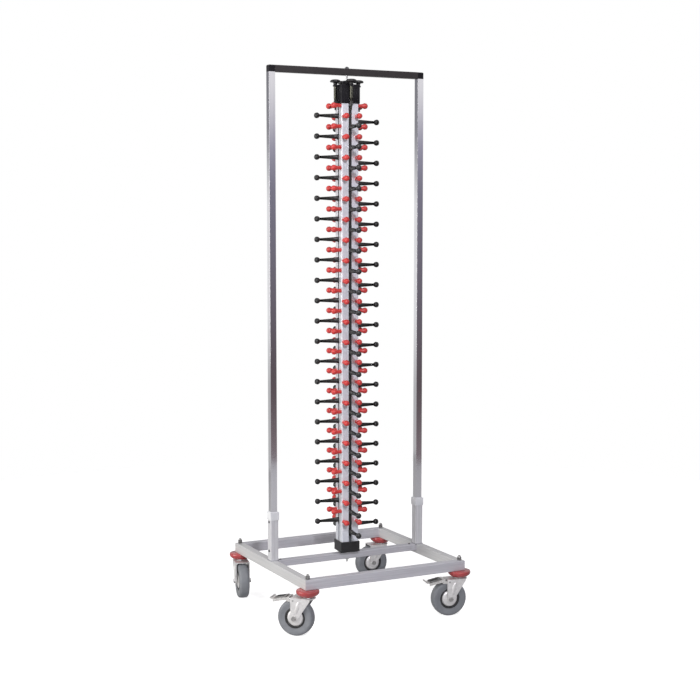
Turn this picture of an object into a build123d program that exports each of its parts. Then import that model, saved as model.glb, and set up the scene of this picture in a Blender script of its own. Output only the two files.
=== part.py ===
from build123d import *
from math import atan2, cos, degrees, radians, sin
import os

os.makedirs("parts", exist_ok=True)

# All sizes are in millimetres. The floor is at Z = 0, the tie rod stands on the origin,
# X runs along the top bar and -Y is the front.

# Tiers of plates
tier_count = 21
tier_pitch = 62.0
first_peg_rise = 96.4
peg_to_cap = 6.6
face_stagger = 32.2
arm_gap_least = 24.0
arm_gap = {"right": 46.5, "back": 31.5, "left": 30.0, "front": 31.5}
face_angle = {"right": 0, "back": 90, "left": 180, "front": 270}

# Column
column_turn = -5.3
extrusion_w = 22.5
extrusion_corner = 3.0
extrusion_web = 2.0
slot_w = 10.0
groove_deep = 3.6
groove_w = 4.0
groove_lip = 2.4
holder_wall = 3.4
holder_fit = 0.1
holder_edge = 2.0
base_floor = 13.0
base_grip = 20.0
cap_roof = 17.0
cap_grip = 40.0
washer_d = 40.0
washer_h = 4.0
running_fit = 0.05

# Pegs
peg_neck_d = 12.0
peg_ball_d = 17.5
peg_tip_d = 8.0
peg_sides = 6
peg_reach = 22.8
peg_edge = 6.6

# Carriers and arms
slide_fit = 0.2
strip_recess = 1.0
strip_tail = 15.0
lug_h = 14.0
lug_fit = 0.05
notch_fit = 0.6
arm_root_w = 9.0
arm_root_h = 15.2
arm_neck_w = 6.5
arm_neck_h = 8.0
arm_ball_d = 18.4
arm_ball_heel_d = 12.0
arm_ball_tip_d = 10.0
arm_ball_half = 8.0
arm_reach = 70.0

# Adjusting knobs and spindles
spindle_d = 6.0
spindle_stand = 3.4
spindle_clear = 3.6
spindle_top = 14.0
sleeve_d = 10.0
sleeve_clear = 1.0
ear_w = 14.0
ear_h = 6.0
knob_lift = 0.2
knob_stem_d = 12.0
knob_stem_h = 8.0
knob_head_d = 32.0
knob_head_h = 9.0
knob_rim_h = 5.0
knob_slope = 40.0
knob_sides = 12

# Base frame
frame_side = 534.0
rail_w = 25.0
rail_h = 30.0
rail_wall = 2.0
cross_w = 25.0
cross_h = 20.0
bolt_fit = 0.1

# Posts and top bar
post_w = 20.0
post_wall = 1.5
post_inset = 16.0
socket_fit = 0.5
socket_wall = 2.0
socket_h = 133.0
collar_wall = 2.0
collar_grip = 8.0
collar_head = 17.0
collar_edge = 1.5
bar_headroom = 28.0
spigot_fit = 0.1
spigot_long = 15.0
corner_edge = 2.0
rod_d = 6.0
rod_tail = 12.0
rod_nose = 3.5
nut_across = 11.0
nut_h = 4.0
nut_cone_h = 2.5
nut_slope = 38.0

# Casters
wheel_d = 108.0
tyre_w = 32.0
hub_d = 62.0
hub_fit = 0.05
hub_w = 28.0
axle_d = 8.0
axle_head_across = 13.0
axle_head_h = 5.0
trail = 35.0
leg_gap = 39.0
sheet = 3.0
leg_end_r = 11.0
leg_shoulder_h = 6.0
crown_r = 22.0
crown_back = 11.0
crown_gap = 3.0
swivel_lift = 0.3
kingpin_d = 8.0
kingpin_head_d = 17.0
kingpin_head_h = 5.0
kingpin_nose = 9.0
race_d = 32.0
race_h = 3.7
bumper_d = 68.0
bumper_foot_d = 48.0
bumper_h = 19.0
bumper_rim_h = 10.0
bumper_sides = 24
caster_nut_across = 11.0
caster_nut_h = 11.0
caster_cone_h = 5.0
heading = {"front_left": 135, "front_right": 170, "rear_left": 257, "rear_right": 176}
corner_sign = {"front_left": (-1, -1), "front_right": (1, -1), "rear_left": (-1, 1), "rear_right": (1, 1)}
braked = ("front_left", "front_right")

# Brake pedals
pedal_pin_d = 5.0
pedal_pin_ahead = 3.0
pedal_pin_drop = 5.0
pedal_w = 37.6
pedal_long = 59.0
pedal_start = 13.0
pedal_sheet = 2.0
pedal_rise = 8.0
pedal_fall = 10.0
pedal_curl = 4.0
pedal_curl_long = 9.0
pedal_flange = 8.0
pedal_eye_wall = 1.8
pedal_root = 9.0
shoe_w = 22.0
shoe_long = 8.0
shoe_deep = 3.5
grip_w = 31.0
grip_start = 10.0
grip_long = 36.0
grip_h = 3.0
grip_edge = 1.0

# Heights and places that follow from the sizes above
crown_z = wheel_d + crown_gap
race_z = crown_z + sheet + swivel_lift
bumper_z = race_z + race_h
rail_z = bumper_z + bumper_h
rail_top = rail_z + rail_h
base_z = rail_top + washer_h + running_fit
column_z = base_z + base_floor
base_top = column_z + base_grip
peg_z = {"right": base_top + first_peg_rise}
peg_z["left"] = peg_z["right"]
peg_z["front"] = peg_z["right"] - face_stagger
peg_z["back"] = peg_z["front"]
top_peg_z = peg_z["right"] + (tier_count - 1) * tier_pitch
cap_z = top_peg_z + peg_to_cap
column_top = cap_z + cap_grip
cap_top = column_top + cap_roof
bar_z = cap_top + bar_headroom
bar_top = bar_z + post_w
column_w = 2 * extrusion_w + slot_w
holder_w = column_w + 2 * (holder_fit + holder_wall)
groove_r = slot_w / 2 + groove_deep + groove_lip
strip_r = column_w / 2 - strip_recess
spindle_r = holder_w / 2 + spindle_stand + spindle_d / 2
spindle_z = top_peg_z - arm_gap_least + arm_root_h / 2 + spindle_clear
post_x = frame_side / 2 - post_inset
socket_in = post_w + 2 * socket_fit
socket_w = socket_in + 2 * socket_wall
stem_at = frame_side / 2 - rail_w / 2


def turned(origin, angle):
    """A level plane at origin whose X runs along angle, in degrees."""
    along = (cos(radians(angle)), sin(radians(angle)), 0)
    return Plane(origin=origin, x_dir=along, z_dir=(0, 0, 1))


def upright(origin, angle):
    """A standing plane at origin: X runs along angle, Y is up."""
    along = (cos(radians(angle)), sin(radians(angle)), 0)
    return Plane(origin=origin, x_dir=along, z_dir=(along[1], -along[0], 0))


def save(built, name):
    """Name a finished node and write its STEP file."""
    built.part.label = name
    export_step(built.part, f"parts/{name}.step")


# Base rails: four tubes mitred at the corners, drilled there for the caster bolts
outer = frame_side / 2
inner = outer - rail_w
for name, angle in {"front_rail": 0, "right_rail": 90, "rear_rail": 180, "left_rail": 270}.items():
    with BuildPart() as rail:
        with BuildSketch(turned((0, 0, rail_z), angle)):
            Polygon((-outer, -outer), (outer, -outer), (inner, -inner), (-inner, -inner), align=None)
        extrude(amount=rail_h)
        with BuildSketch(turned((0, 0, rail_z + rail_wall), angle)):
            bore_out = outer - rail_wall
            bore_in = inner + rail_wall
            Polygon((-outer, -bore_out), (outer, -bore_out), (bore_in + rail_wall, -bore_in),
                    (-bore_in - rail_wall, -bore_in), align=None)
        extrude(amount=rail_h - 2 * rail_wall, mode=Mode.SUBTRACT)
        with BuildSketch(Plane.XY.offset(rail_z)):
            with Locations(*[(x * stem_at, y * stem_at) for x, y in corner_sign.values()]):
                Circle(kingpin_d / 2 + bolt_fit)
        extrude(amount=rail_h, mode=Mode.SUBTRACT)
    save(rail, name)

# Cross rail: a lower tube between the side rails, level with their tops
with BuildPart() as cross_rail:
    with BuildSketch(Plane.YZ.offset(-inner)):
        with Locations((0, rail_top - cross_h / 2)):
            Rectangle(cross_w, cross_h)
            Rectangle(cross_w - 2 * rail_wall, cross_h - 2 * rail_wall, mode=Mode.SUBTRACT)
    extrude(amount=2 * inner)
    with BuildSketch(Plane.XY.offset(rail_top - cross_h)):
        Circle(rod_d / 2 + bolt_fit)
    extrude(amount=cross_h, mode=Mode.SUBTRACT)
save(cross_rail, "cross_rail")

# Post sockets: short tubes that stand on the rails
sides = ((-post_x, 0), (post_x, 0))
with BuildPart() as post_sockets:
    with BuildSketch(Plane.XY.offset(rail_top)):
        with Locations(*sides):
            Rectangle(socket_w, socket_w)
            Rectangle(socket_in, socket_in, mode=Mode.SUBTRACT)
    extrude(amount=socket_h)
save(post_sockets, "post_sockets")

# Socket collars: they grip the socket's end and the post above it
collar_w = socket_w + 2 * collar_wall
socket_top = rail_top + socket_h
with BuildPart() as socket_collars:
    with BuildSketch(Plane.XY.offset(socket_top - collar_grip)):
        with Locations(*sides):
            Rectangle(collar_w, collar_w)
    extrude(amount=collar_grip + collar_head)
    chamfer(socket_collars.faces().sort_by(Axis.Z)[-2:].edges(), collar_edge)
    with BuildSketch(Plane.XY.offset(socket_top - collar_grip)):
        with Locations(*sides):
            Rectangle(socket_w, socket_w)
    extrude(amount=collar_grip, mode=Mode.SUBTRACT)
    with BuildSketch(Plane.XY.offset(socket_top)):
        with Locations(*sides):
            Rectangle(post_w, post_w)
    extrude(amount=collar_head, mode=Mode.SUBTRACT)
save(socket_collars, "socket_collars")

# Posts: tubes that stand on the rails inside their sockets
post_bore = post_w - 2 * post_wall
for name, x in {"left_post": -post_x, "right_post": post_x}.items():
    with BuildPart() as post:
        with BuildSketch(Plane.XY.offset(rail_top)):
            with Locations((x, 0)):
                Rectangle(post_w, post_w)
                Rectangle(post_bore, post_bore, mode=Mode.SUBTRACT)
        extrude(amount=bar_z - rail_top)
    save(post, name)

# Top bar: a tube between the corner pieces, drilled for the tie rod
bar_half = post_x - post_w / 2
with BuildPart() as top_bar:
    with BuildSketch(Plane.YZ.offset(-bar_half)):
        with Locations((0, bar_z + post_w / 2)):
            Rectangle(post_w, post_w)
            Rectangle(post_bore, post_bore, mode=Mode.SUBTRACT)
    extrude(amount=2 * bar_half)
    with BuildSketch(Plane.XY.offset(bar_z)):
        Circle(rod_d / 2 + bolt_fit)
    extrude(amount=post_w, mode=Mode.SUBTRACT)
save(top_bar, "top_bar")

# Bar corners: cubes with one spigot down the post and one into the bar
spigot_w = post_bore - 2 * spigot_fit
with BuildPart() as bar_corners:
    with BuildSketch(Plane.XY.offset(bar_z)):
        with Locations(*sides):
            Rectangle(post_w, post_w)
    extrude(amount=post_w)
    chamfer(bar_corners.faces().sort_by(Axis.Z)[-2:].edges(), corner_edge)
    with BuildSketch(Plane.XY.offset(bar_z - spigot_long)):
        with Locations(*sides):
            Rectangle(spigot_w, spigot_w)
    extrude(amount=spigot_long)
    with BuildSketch(Plane.YZ.offset(-bar_half)):
        with Locations((0, bar_z + post_w / 2)):
            Rectangle(spigot_w, spigot_w)
    extrude(amount=spigot_long)
    with BuildSketch(Plane.YZ.offset(bar_half - spigot_long)):
        with Locations((0, bar_z + post_w / 2)):
            Rectangle(spigot_w, spigot_w)
    extrude(amount=spigot_long)
save(bar_corners, "bar_corners")

# Tie rod: from under the cross rail to above the bar
rod_z = rail_top - cross_h - rod_tail
with BuildPart() as tie_rod:
    with BuildSketch(Plane.XY.offset(rod_z)):
        Circle(rod_d / 2)
    extrude(amount=bar_top + rod_nose - rod_z)
save(tie_rod, "tie_rod")

# Rod fittings: a domed nut over the bar, a plain nut under the cross rail and the thrust washer
with BuildPart() as rod_fittings:
    with BuildSketch(Plane.XY.offset(bar_top)):
        RegularPolygon(nut_across / 2, 6, major_radius=False)
    extrude(amount=nut_h)
    with BuildSketch(Plane.XY.offset(bar_top + nut_h)):
        RegularPolygon(nut_across / 2, 6, major_radius=False)
    extrude(amount=nut_cone_h, taper=nut_slope)
    with BuildSketch(Plane.XY.offset(bar_top)):
        Circle(rod_d / 2 + bolt_fit)
    extrude(amount=rod_nose + bolt_fit, mode=Mode.SUBTRACT)
    with BuildSketch(Plane.XY.offset(rail_top - cross_h - nut_h)):
        RegularPolygon(nut_across / 2, 6, major_radius=False)
        Circle(rod_d / 2 + bolt_fit, mode=Mode.SUBTRACT)
    extrude(amount=nut_h)
    with BuildSketch(Plane.XY.offset(rail_top)):
        Circle(washer_d / 2)
        Circle(rod_d / 2 + bolt_fit, mode=Mode.SUBTRACT)
    extrude(amount=washer_h)
save(rod_fittings, "rod_fittings")

# Caster nuts: domed nuts over the caster bolts
stems = [(x * stem_at, y * stem_at) for x, y in corner_sign.values()]
with BuildPart() as caster_nuts:
    with BuildSketch(Plane.XY.offset(rail_top)):
        with Locations(*stems):
            RegularPolygon(caster_nut_across / 2, 6, major_radius=False)
    extrude(amount=caster_nut_h)
    for place in stems:
        with BuildSketch(Plane.XY.offset(rail_top + caster_nut_h)):
            with Locations(place):
                RegularPolygon(caster_nut_across / 2, 6, major_radius=False)
        extrude(amount=caster_cone_h, taper=nut_slope)
    with BuildSketch(Plane.XY.offset(rail_top)):
        with Locations(*stems):
            Circle(kingpin_d / 2 + bolt_fit)
    extrude(amount=kingpin_nose + bolt_fit, mode=Mode.SUBTRACT)
save(caster_nuts, "caster_nuts")

# Caster bolts: a head under the fork's crown, a race over it and a shank through the rail
head_z = crown_z - swivel_lift - kingpin_head_h
with BuildPart() as caster_bolts:
    with BuildSketch(Plane.XY.offset(head_z)):
        with Locations(*stems):
            RegularPolygon(kingpin_head_d / 2, 6)
    extrude(amount=kingpin_head_h)
    with BuildSketch(Plane.XY.offset(head_z)):
        with Locations(*stems):
            Circle(kingpin_d / 2)
    extrude(amount=rail_top + kingpin_nose - head_z)
    with BuildSketch(Plane.XY.offset(race_z)):
        with Locations(*stems):
            RegularPolygon(race_d / 2, 12)
    extrude(amount=race_h)
save(caster_bolts, "caster_bolts")

# Corner bumpers: dished discs clamped between the race and the rail
dish_h = bumper_h - bumper_rim_h
with BuildPart() as dish:
    with BuildSketch():
        RegularPolygon(bumper_d / 2, bumper_sides, major_radius=False)
    extrude(amount=dish_h, taper=degrees(atan2((bumper_d - bumper_foot_d) / 2, dish_h)))
with BuildPart() as bumper_form:
    with BuildSketch():
        RegularPolygon(bumper_d / 2, bumper_sides, major_radius=False)
    extrude(amount=bumper_rim_h)
    mirror(dish.part, about=Plane.XY)
    with BuildSketch(Plane.XY.offset(-dish_h)):
        Circle(kingpin_d / 2 + bolt_fit)
    extrude(amount=bumper_h, mode=Mode.SUBTRACT)
with BuildPart() as corner_bumpers:
    add([bumper_form.part.moved(Location((x, y, bumper_z + dish_h))) for x, y in stems])
save(corner_bumpers, "corner_bumpers")

# Column extrusions: one square profile, grooved for the carriers' flanges, at each corner
slot_half = slot_w / 2
groove_out = groove_r + groove_w
chamber = column_w / 2 - groove_out - 2 * extrusion_web
chamber_at = column_w / 2 - extrusion_web - chamber / 2
with BuildPart() as column_extrusions:
    for angle in face_angle.values():
        with BuildSketch(turned((0, 0, column_z), column_turn + angle)) as profile:
            middle = slot_half + extrusion_w / 2
            with Locations((middle, middle)):
                Rectangle(extrusion_w, extrusion_w)
            with Locations((groove_r + groove_w / 2, slot_half + groove_deep / 2)):
                Rectangle(groove_w, groove_deep, mode=Mode.SUBTRACT)
            with Locations((slot_half + groove_deep / 2, groove_r + groove_w / 2)):
                Rectangle(groove_deep, groove_w, mode=Mode.SUBTRACT)
            with Locations((chamber_at, chamber_at)):
                Rectangle(chamber, chamber, mode=Mode.SUBTRACT)
            fillet(profile.vertices().sort_by_distance((column_w, column_w))[0], extrusion_corner)
        extrude(amount=column_top - column_z)
save(column_extrusions, "column_extrusions")

# Base block: holds the profiles' lower ends and turns on the washer
with BuildPart() as base_block:
    with BuildSketch(turned((0, 0, base_z), column_turn)):
        Rectangle(holder_w, holder_w)
    extrude(amount=base_floor + base_grip)
    chamfer(base_block.edges().filter_by(Axis.Z), holder_edge)
    with BuildSketch(turned((0, 0, column_z), column_turn)):
        Rectangle(column_w + 2 * holder_fit, column_w + 2 * holder_fit)
    extrude(amount=base_grip, mode=Mode.SUBTRACT)
    with BuildSketch(Plane.XY.offset(base_z)):
        Circle(rod_d / 2 + running_fit)
    extrude(amount=base_floor, mode=Mode.SUBTRACT)
save(base_block, "base_block")

# Top cap: closes the profiles, with a notch for each lug and an ear for each spindle
strip_w = slot_w - 2 * slide_fit
notch_w = strip_w + 2 * notch_fit
ear_z = cap_top - ear_h
with BuildPart() as top_cap:
    with BuildSketch(turned((0, 0, cap_z), column_turn)):
        Rectangle(holder_w, holder_w)
    extrude(amount=cap_grip + cap_roof)
    chamfer(top_cap.edges().filter_by(Axis.Z), holder_edge)
    chamfer(top_cap.faces().sort_by(Axis.Z)[-1].edges(), holder_edge)
    for angle in face_angle.values():
        with BuildSketch(turned((0, 0, ear_z), column_turn + angle)):
            with Locations((spindle_r / 2, 0)):
                Rectangle(spindle_r, ear_w)
            with Locations((spindle_r, 0)):
                RegularPolygon(ear_w / 2, 8, rotation=22.5, major_radius=False)
        extrude(amount=ear_h - holder_edge)
    with BuildSketch(turned((0, 0, cap_z), column_turn)):
        Rectangle(column_w + 2 * holder_fit, column_w + 2 * holder_fit)
    extrude(amount=cap_grip, mode=Mode.SUBTRACT)
    for angle in face_angle.values():
        with BuildSketch(turned((0, 0, cap_z), column_turn + angle)):
            with Locations((holder_w / 2, 0)):
                Rectangle(holder_w / 2, notch_w)
        extrude(amount=lug_h + 2 * notch_fit, mode=Mode.SUBTRACT)
        with BuildSketch(turned((0, 0, ear_z), column_turn + angle)):
            with Locations((spindle_r, 0)):
                Circle(spindle_d / 2 + running_fit)
        extrude(amount=ear_h, mode=Mode.SUBTRACT)
    with BuildSketch(Plane.XY.offset(column_top)):
        Circle(rod_d / 2 + running_fit)
    extrude(amount=cap_roof, mode=Mode.SUBTRACT)
save(top_cap, "top_cap")

# One peg, made along Z from the middle of its ball: a neck, and a ball with flat facets
def facet_slope(wide, narrow, depth):
    """The draft, in degrees, that takes a faceted ball from one width to another."""
    return degrees(atan2((wide - narrow) / 2 * cos(radians(180 / peg_sides)), depth))


peg_ball_half = peg_ball_d / 2
with BuildPart() as peg_heel:
    with BuildSketch():
        RegularPolygon(peg_ball_d / 2, peg_sides)
    extrude(amount=peg_ball_half, taper=facet_slope(peg_ball_d, peg_neck_d, peg_ball_half))
with BuildPart() as peg_form:
    with BuildSketch():
        RegularPolygon(peg_ball_d / 2, peg_sides)
    extrude(amount=peg_ball_half, taper=facet_slope(peg_ball_d, peg_tip_d, peg_ball_half))
    mirror(peg_heel.part, about=Plane.XY)
    with BuildSketch(Plane.XY.offset(-peg_reach)):
        RegularPolygon(peg_neck_d / 2, peg_sides)
    extrude(amount=peg_reach - peg_ball_half)

# One arm, made along Z from the middle of its ball: a tapered bar, and a ball with flat facets
bar_long = arm_reach + strip_recess - arm_ball_half
with BuildPart() as arm_heel:
    with BuildSketch():
        RegularPolygon(arm_ball_d / 2, peg_sides)
    extrude(amount=arm_ball_half, taper=facet_slope(arm_ball_d, arm_ball_heel_d, arm_ball_half))
with BuildPart() as arm_form:
    with BuildSketch():
        RegularPolygon(arm_ball_d / 2, peg_sides)
    extrude(amount=arm_ball_half, taper=facet_slope(arm_ball_d, arm_ball_tip_d, arm_ball_half))
    mirror(arm_heel.part, about=Plane.XY)
    with Locations((0, 0, -arm_reach - strip_recess)):
        Wedge(arm_root_h, bar_long, arm_root_w, (arm_root_h - arm_neck_h) / 2, (arm_root_w - arm_neck_w) / 2,
              (arm_root_h + arm_neck_h) / 2, (arm_root_w + arm_neck_w) / 2, rotation=(90, 0, 0),
              align=(Align.CENTER, Align.MIN, Align.CENTER))

# Pegs, carriers, arms, spindles and knobs of each face
peg_side = column_w / 2 - peg_edge
knob_z = cap_top - holder_edge + knob_lift
for face, angle in face_angle.items():
    turn = column_turn + angle

    # Two rows of pegs up the face
    out = Plane(origin=(0, 0, 0), x_dir=(0, 0, 1), z_dir=turned((0, 0, 0), turn).x_dir)
    peg_out = column_w / 2 + peg_reach
    with BuildPart() as pegs:
        rows = [(peg_z[face] + tier * tier_pitch, y) for tier in range(tier_count) for y in (-peg_side, peg_side)]
        add([peg_form.part.moved(out.location * Location((z, y, peg_out))) for z, y in rows])
    save(pegs, f"pegs_{face}")

    # A T-shaped strip in the slot, and the lug for the spindle on its top end
    lug_z = cap_z - (arm_gap[face] - arm_gap_least)
    arm_z = peg_z[face] - arm_gap[face]
    tail_z = arm_z - strip_tail
    with BuildPart() as strip:
        with BuildSketch(turned((0, 0, tail_z), turn)):
            stem_in = groove_r + slide_fit
            with Locations(((stem_in + strip_r) / 2, 0)):
                Rectangle(strip_r - stem_in, strip_w)
            with Locations((groove_r + groove_w / 2, 0)):
                Rectangle(groove_w - 2 * slide_fit, slot_w + 2 * (groove_deep - slide_fit))
        extrude(amount=lug_z + lug_h - tail_z)
    lug_in = strip_r + lug_fit
    with BuildPart() as lug:
        with BuildSketch(turned((0, 0, lug_z), turn)):
            with Locations(((lug_in + spindle_r) / 2, 0)):
                Rectangle(spindle_r - lug_in, strip_w)
            with Locations((spindle_r, 0)):
                RegularPolygon(strip_w / 2, 8, rotation=22.5, major_radius=False)
                Circle(spindle_d / 2 + running_fit, mode=Mode.SUBTRACT)
        extrude(amount=lug_h)
    with BuildPart() as carrier:
        add([strip.part, lug.part])
    save(carrier, f"carrier_{face}")

    # Arms up the strip
    arm_out = column_w / 2 + arm_reach
    with BuildPart() as arms:
        steps = [arm_z + tier * tier_pitch for tier in range(tier_count)]
        add([arm_form.part.moved(out.location * Location((z, 0, arm_out))) for z in steps])
    save(arms, f"arms_{face}")

    # Spindle: a screw with a thick sleeve between the lug and the ear, up into the knob
    at = turned((0, 0, 0), turn).from_local_coords((spindle_r, 0, 0))
    sleeve_z = cap_z + lug_h + sleeve_clear
    with BuildPart() as spindle:
        with BuildSketch(turned((at.X, at.Y, spindle_z), turn)):
            Circle(spindle_d / 2)
        extrude(amount=knob_z + spindle_top - spindle_z)
        with BuildSketch(turned((at.X, at.Y, sleeve_z), turn)):
            Circle(sleeve_d / 2)
        extrude(amount=ear_z - knob_lift - sleeve_z)
    save(spindle, f"spindle_{face}")

    # Knob: a faceted mushroom head on a stem, bored for the spindle
    head_z = knob_z + knob_stem_h
    with BuildPart() as knob:
        with BuildSketch(turned((at.X, at.Y, knob_z), turn)):
            RegularPolygon(knob_stem_d / 2, knob_sides)
        extrude(amount=knob_stem_h)
        with BuildSketch(turned((at.X, at.Y, head_z), turn)):
            RegularPolygon(knob_head_d / 2, knob_sides)
        extrude(amount=knob_rim_h)
        with BuildSketch(turned((at.X, at.Y, head_z + knob_rim_h), turn)):
            RegularPolygon(knob_head_d / 2, knob_sides)
        extrude(amount=knob_head_h - knob_rim_h, taper=knob_slope)
        with BuildSketch(turned((at.X, at.Y, knob_z), turn)):
            Circle(spindle_d / 2 + running_fit)
        extrude(amount=spindle_top + running_fit, mode=Mode.SUBTRACT)
    save(knob, f"knob_{face}")

# Casters: fork, axle, tyre and hub at each corner, with a brake pedal at the front
wheel_r = wheel_d / 2
leg_in = leg_gap / 2
leg_out = leg_in + sheet
pin_u = trail + pedal_pin_ahead
pin_z = crown_z - pedal_pin_drop
pin_in = pedal_w / 2 - pedal_sheet
for corner, (x, y) in corner_sign.items():
    stem = (x * stem_at, y * stem_at, 0)
    course = heading[corner]
    side = upright(stem, course)
    level = turned(stem, course)

    # Fork: a crown round the kingpin and two legs that taper to the axle
    crown_end = trail + crown_back
    with BuildPart() as fork:
        with BuildSketch(level.offset(crown_z)):
            RegularPolygon(crown_r, 8, rotation=22.5, major_radius=False)
            with Locations((crown_end / 2, 0)):
                Rectangle(crown_end, 2 * leg_out)
        extrude(amount=sheet)
        for start in (leg_in, -leg_out):
            with BuildSketch(side.offset(start)):
                with Locations((trail, wheel_r)):
                    RegularPolygon(leg_end_r, 12, rotation=15)
                with Locations(((crown_end - crown_r * 0.6) / 2, crown_z + sheet - leg_shoulder_h / 2)):
                    Rectangle(crown_end + crown_r * 0.6, leg_shoulder_h)
                make_hull()
            extrude(amount=sheet)
        with BuildSketch(level.offset(crown_z)):
            Circle(kingpin_d / 2 + running_fit)
        extrude(amount=sheet, mode=Mode.SUBTRACT)
        with BuildSketch(side):
            with Locations((trail, wheel_r)):
                Circle(axle_d / 2 + running_fit)
            if corner in braked:
                with Locations((pin_u, pin_z)):
                    Circle(pedal_pin_d / 2 + running_fit)
        extrude(amount=leg_out, both=True, mode=Mode.SUBTRACT)
    save(fork, f"fork_{corner}")

    # Axle: a bolt with a hexagon at both ends, and the pedal's two rivets where there is one
    with BuildPart() as axle:
        with BuildSketch(side):
            with Locations((trail, wheel_r)):
                Circle(axle_d / 2)
        extrude(amount=leg_out + axle_head_h, both=True)
        for start in (leg_out, -leg_out - axle_head_h):
            with BuildSketch(side.offset(start)):
                with Locations((trail, wheel_r)):
                    RegularPolygon(axle_head_across / 2, 6, major_radius=False)
            extrude(amount=axle_head_h)
        if corner in braked:
            for start in (pin_in, -leg_out):
                with BuildSketch(side.offset(start)):
                    with Locations((pin_u, pin_z)):
                        Circle(pedal_pin_d / 2)
                extrude(amount=leg_out - pin_in)
    save(axle, f"axle_{corner}")

    # Tyre: a thick ring with a flat tread
    with BuildPart() as tyre:
        with BuildSketch(side.offset(-tyre_w / 2)):
            with Locations((trail, wheel_r)):
                Circle(wheel_r)
                Circle(hub_d / 2, mode=Mode.SUBTRACT)
        extrude(amount=tyre_w)
    save(tyre, f"tyre_{corner}")

    # Hub: the wheel's centre, bored for the axle
    with BuildPart() as hub:
        with BuildSketch(side.offset(-hub_w / 2)):
            with Locations((trail, wheel_r)):
                Circle(hub_d / 2 - hub_fit)
                Circle(axle_d / 2 + running_fit, mode=Mode.SUBTRACT)
        extrude(amount=hub_w)
    save(hub, f"hub_{corner}")

    if corner in braked:
        # Brake pedal: a folded channel on its rivets, with an upturned tip and a shoe over the tyre
        tread_z = pin_z + pedal_rise
        pedal_from = pin_u + pedal_start
        pedal_end = pedal_from + pedal_long
        curl_from = pedal_end - pedal_curl_long
        low_z = tread_z - pedal_fall
        tip_z = low_z + pedal_curl
        with BuildPart() as brake_pedal:
            with BuildSketch(side):
                Polygon((pedal_from, tread_z), (curl_from, low_z), (pedal_end, tip_z),
                        (pedal_end, tip_z + pedal_sheet), (curl_from, low_z + pedal_sheet),
                        (pedal_from, tread_z + pedal_sheet), align=None)
            extrude(amount=pedal_w / 2, both=True)
            for start in (pin_in, -pedal_w / 2):
                eye_r = pedal_pin_d / 2 + pedal_eye_wall
                with BuildSketch(side.offset(start)):
                    with Locations((pin_u, pin_z)):
                        RegularPolygon(eye_r, 8, rotation=22.5, major_radius=False)
                    with Locations((pedal_from + pedal_root / 2, pin_z)):
                        Rectangle(pedal_root, 2 * eye_r)
                    make_hull()
                extrude(amount=pedal_sheet)
                with BuildSketch(side.offset(start)):
                    Polygon((pedal_from, tread_z + pedal_sheet), (curl_from, low_z + pedal_sheet),
                            (curl_from, low_z + pedal_sheet - pedal_flange),
                            (pedal_from, tread_z + pedal_sheet - pedal_flange), align=None)
                extrude(amount=pedal_sheet)
            with BuildSketch(level.offset(tread_z - shoe_deep)):
                with Locations((pedal_from + shoe_long / 2, 0)):
                    Rectangle(shoe_long, shoe_w)
            extrude(amount=shoe_deep)
            with BuildSketch(side):
                with Locations((pin_u, pin_z)):
                    Circle(pedal_pin_d / 2 + running_fit)
            extrude(amount=leg_in, both=True, mode=Mode.SUBTRACT)
        save(brake_pedal, f"brake_pedal_{corner}")

        # Pedal grip: a pad along the sloping tread
        slope = -pedal_fall / (curl_from - pedal_from)
        grip_from = pedal_from + grip_start
        grip_z = tread_z + pedal_sheet + slope * grip_start
        grip_end_z = grip_z + slope * grip_long
        with BuildPart() as pedal_grip:
            with BuildSketch(side):
                Polygon((grip_from, grip_z), (grip_from + grip_long, grip_end_z),
                        (grip_from + grip_long, grip_end_z + grip_h), (grip_from, grip_z + grip_h), align=None)
            extrude(amount=grip_w / 2, both=True)
            chamfer(pedal_grip.faces().sort_by(Axis.Z)[-1].edges(), grip_edge)
        save(pedal_grip, f"pedal_grip_{corner}")
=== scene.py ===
from math import atan2, cos, pi, radians, sin

import bmesh
import bpy
from mathutils import Matrix, Vector


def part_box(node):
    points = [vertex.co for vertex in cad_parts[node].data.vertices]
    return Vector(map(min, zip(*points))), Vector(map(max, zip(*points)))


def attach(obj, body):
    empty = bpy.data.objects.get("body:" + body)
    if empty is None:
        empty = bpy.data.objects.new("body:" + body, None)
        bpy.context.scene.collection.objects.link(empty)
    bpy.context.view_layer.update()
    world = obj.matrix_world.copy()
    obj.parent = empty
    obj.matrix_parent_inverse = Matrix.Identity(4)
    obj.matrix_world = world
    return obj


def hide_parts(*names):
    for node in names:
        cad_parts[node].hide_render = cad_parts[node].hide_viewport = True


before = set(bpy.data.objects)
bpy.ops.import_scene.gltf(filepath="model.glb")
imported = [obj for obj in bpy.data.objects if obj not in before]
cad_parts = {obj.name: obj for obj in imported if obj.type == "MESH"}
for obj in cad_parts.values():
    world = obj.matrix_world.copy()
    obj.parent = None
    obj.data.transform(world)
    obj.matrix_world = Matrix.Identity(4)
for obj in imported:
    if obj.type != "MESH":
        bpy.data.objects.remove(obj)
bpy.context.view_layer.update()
mm = 0.001


# Base rails: four square steel tubes, mitred, welded and ground flush, with a lower tube
# across the middle. Satin-ground steel: fine streaks run along each tube, and its long
# edges have the round of drawn tube.
def shader_group(name, inputs, outputs):
    """A new node group with named sockets, its input node and its output node."""
    tree = bpy.data.node_groups.new(name, "ShaderNodeTree")
    for label, kind, value in inputs:
        socket = tree.interface.new_socket(label, in_out="INPUT", socket_type=kind)
        socket.default_value = value
    for label in outputs:
        tree.interface.new_socket(label, in_out="OUTPUT", socket_type="NodeSocketFloat")
    return tree, tree.nodes.new("NodeGroupInput"), tree.nodes.new("NodeGroupOutput")


def object_place(tree):
    """Where a point lies on its object."""
    return tree.nodes.new("ShaderNodeTexCoord").outputs["Object"]


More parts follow.
